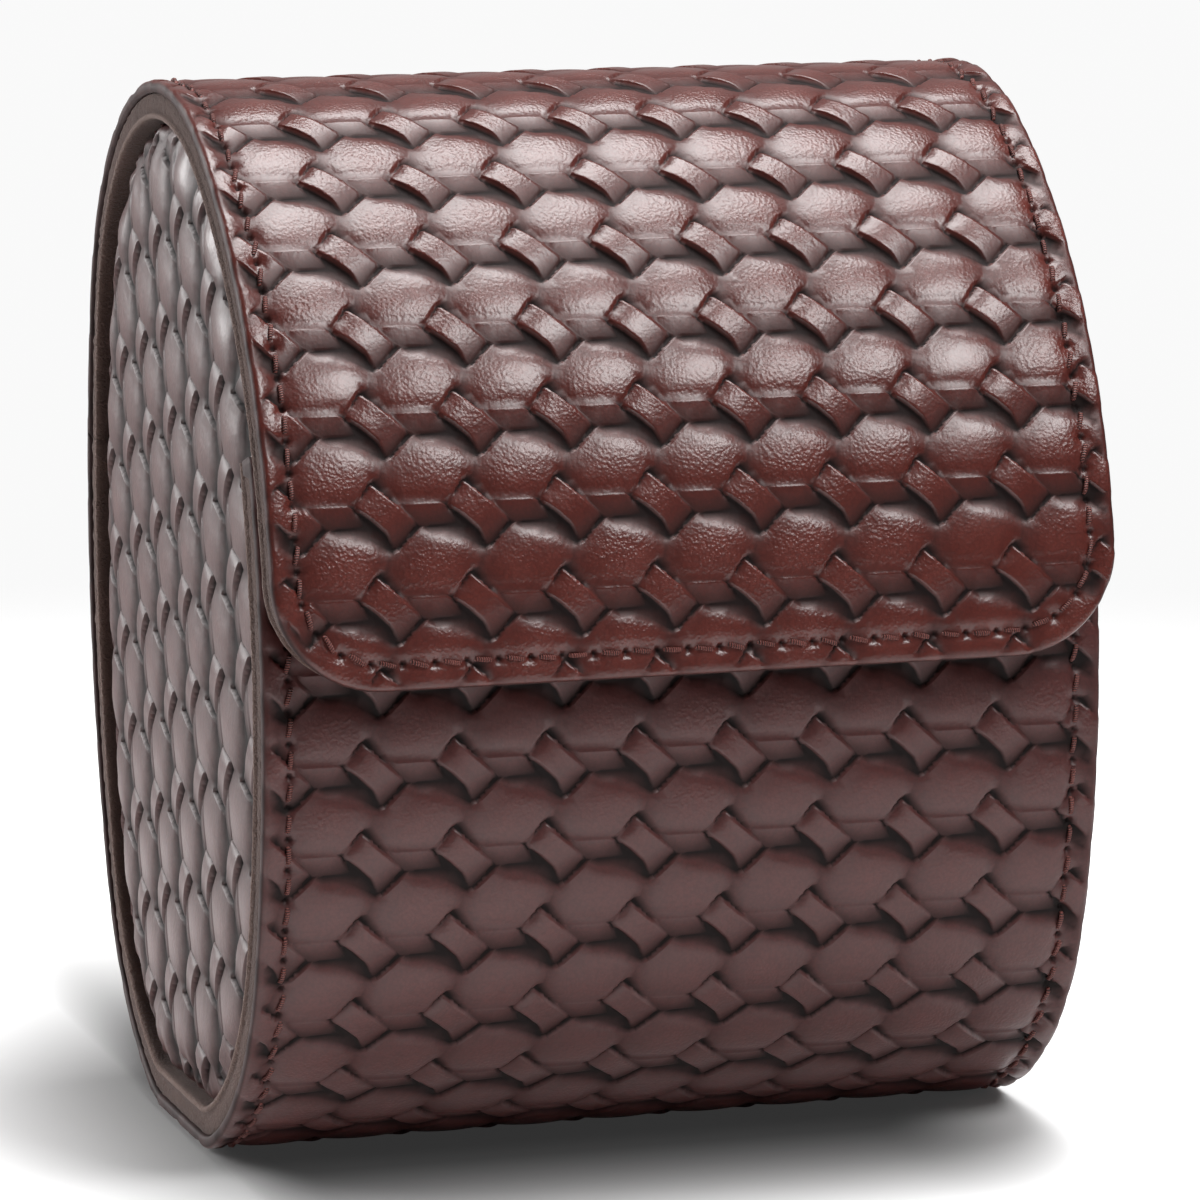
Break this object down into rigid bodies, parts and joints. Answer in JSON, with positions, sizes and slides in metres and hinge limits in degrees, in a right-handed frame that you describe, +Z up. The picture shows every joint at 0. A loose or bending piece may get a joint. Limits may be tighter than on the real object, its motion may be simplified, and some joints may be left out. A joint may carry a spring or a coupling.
{
  "type": "single watch roll case",
  "caption": "Oval watch roll case in embossed woven-pattern leather: stitched tube with padded ends, a hinged flap that wraps over the front, and a lift-out cushion.",
  "frame": {"origin": "centre of the footprint's bounding box, on the surface the case stands on", "axes": "+Z up, +X along the roll (its right end seen from the front), -Y to the front, where the flap closes"},
  "size_m": [0.0768, 0.0668, 0.0928],
  "materials": {
    "embossed_leather": "semi-gloss, woven-pattern embossing",
    "flap_leather_finish": "polished, woven-pattern embossing",
    "suede": "napped microsuede",
    "cushion_suede": "soft napped suede",
    "fibreboard": "pressed fibreboard",
    "foam": "open-cell foam",
    "magnet": "nickel-plated disc"
  },
  "bodies": {
    "case": {"case_board": "fibreboard", "case_leather": "embossed_leather", "case_lining": "suede", "case_magnet_left": "magnet", "case_magnet_right": "magnet", "end_leather_left": "embossed_leather", "end_leather_right": "embossed_leather", "end_foam_left": "foam", "end_foam_right": "foam", "end_board_left": "fibreboard", "end_board_right": "fibreboard", "end_lining_left": "suede", "end_lining_right": "suede"},
    "flap": {"flap_board": "fibreboard", "flap_leather": "flap_leather_finish", "flap_lining": "suede", "flap_magnet_left": "magnet", "flap_magnet_right": "magnet"},
    "cushion": {"cushion_core": "foam", "cushion_cover": "cushion_suede", "cushion_end_left": "cushion_suede", "cushion_end_right": "cushion_suede"}
  },
  "joints": [
    {"name": "flap_hinge", "type": "hinge", "parent": "case", "child": "flap", "pos_m": [0, 0.03031, 0.0749], "axis": [-1, 0, 0], "range_deg": [0, 150]},
    {"name": "cushion_lift", "type": "slide", "parent": "case", "child": "cushion", "axis": [0, 0, 1], "range_m": [0, 0.087]}
  ],
  "couplings": [
    {"joint": "cushion_lift", "follows": "flap_hinge", "m_per_rad": 0.0332}
  ]
}
